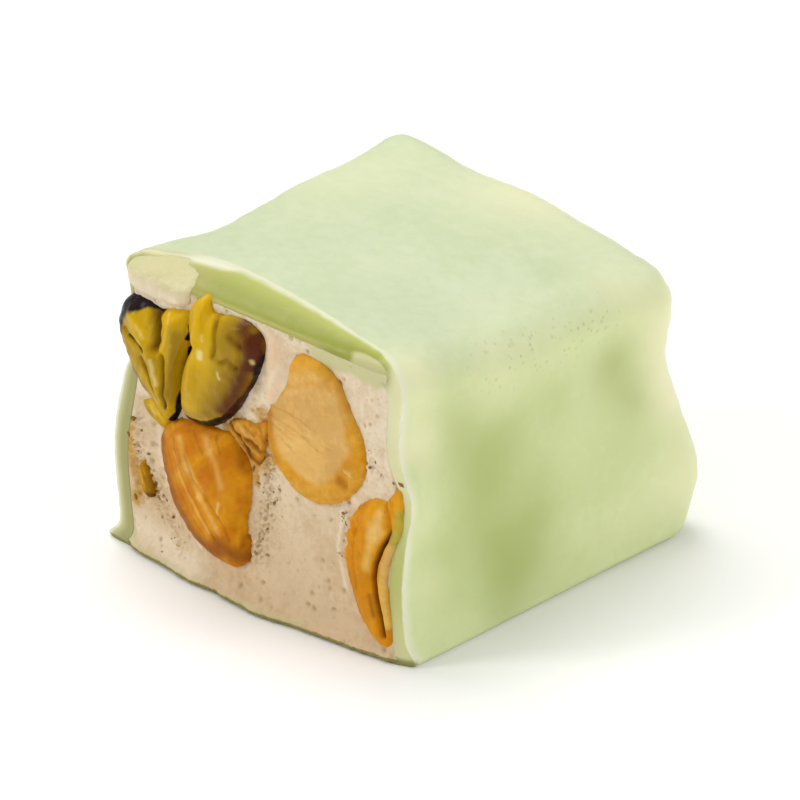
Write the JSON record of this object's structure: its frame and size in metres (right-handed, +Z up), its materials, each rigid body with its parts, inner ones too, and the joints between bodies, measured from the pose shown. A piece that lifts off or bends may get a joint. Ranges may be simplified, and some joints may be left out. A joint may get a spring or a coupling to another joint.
{
  "type": "nougat bar half",
  "caption": "Cut half of a soft white nougat bar with almonds and a split pistachio, dipped in a pale green coating that broke away along the top of the cut.",
  "frame": {"origin": "on the surface the piece stands on, under the middle of its bounding box", "axes": "+Z up; -Y out of the cut face, +Y along the bar to its rounded end; +X to the right seen from the cut"},
  "size_m": [0.0206, 0.0217, 0.0162],
  "materials": {
    "green_coating": "smooth set coating, pale yellow green with a soft sheen, deeper green where it is broken",
    "nougat": "matt warm cream, chewy, with fine pores",
    "roasted_almond": "satin golden tan to orange brown, with fine streaks along the nut",
    "pistachio": "oily sheen, yellow green flesh under a dark purple skin"
  },
  "bodies": {
    "root": {"coating": "green_coating", "nougat": "nougat", "almond_lower": "roasted_almond", "almond_middle": "roasted_almond", "almond_right": "roasted_almond", "almond_splinter": "roasted_almond", "almond_crumb": "roasted_almond", "pistachio_left": "pistachio", "pistachio_right": "pistachio", "pistachio_crumb": "pistachio"}
  },
  "joints": []
}
